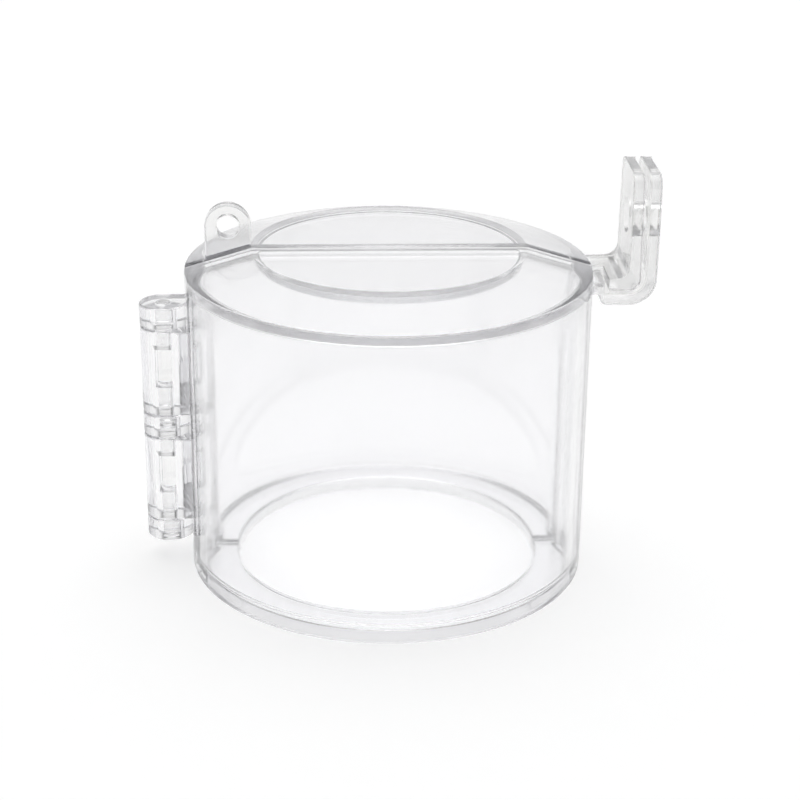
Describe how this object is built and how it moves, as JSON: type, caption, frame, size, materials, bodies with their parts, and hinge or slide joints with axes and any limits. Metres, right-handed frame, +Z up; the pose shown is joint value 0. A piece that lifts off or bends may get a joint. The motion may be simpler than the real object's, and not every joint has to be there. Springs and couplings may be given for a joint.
{
  "type": "pushbutton lockout cover",
  "caption": "Round clear clamshell cover with a shallow cone lid, a side hinge on pins, nested padlock ears on a stepped arm, a tether tab and an open base ring.",
  "frame": {"origin": "centre of the base opening, on the plane that the cover stands on", "axes": "+Z up along the cover's round axis, +X from the hinge to the padlock ears, +Y from the front half to the rear half"},
  "size_m": [0.101, 0.08, 0.0824],
  "materials": {
    "cover_plastic": "clear moulded polycarbonate, polished",
    "pin_plastic": "clear moulded plastic, polished"
  },
  "bodies": {
    "rear_half": {"back_shell": "cover_plastic", "upper_hinge_pin": "pin_plastic", "lower_hinge_pin": "pin_plastic"},
    "front_half": {"front_shell": "cover_plastic"}
  },
  "joints": [
    {"name": "cover_hinge", "type": "hinge", "parent": "rear_half", "child": "front_half", "pos_m": [-0.0444, 0, 0.03], "axis": [0, 0, -1], "range_deg": [0, 180]}
  ]
}
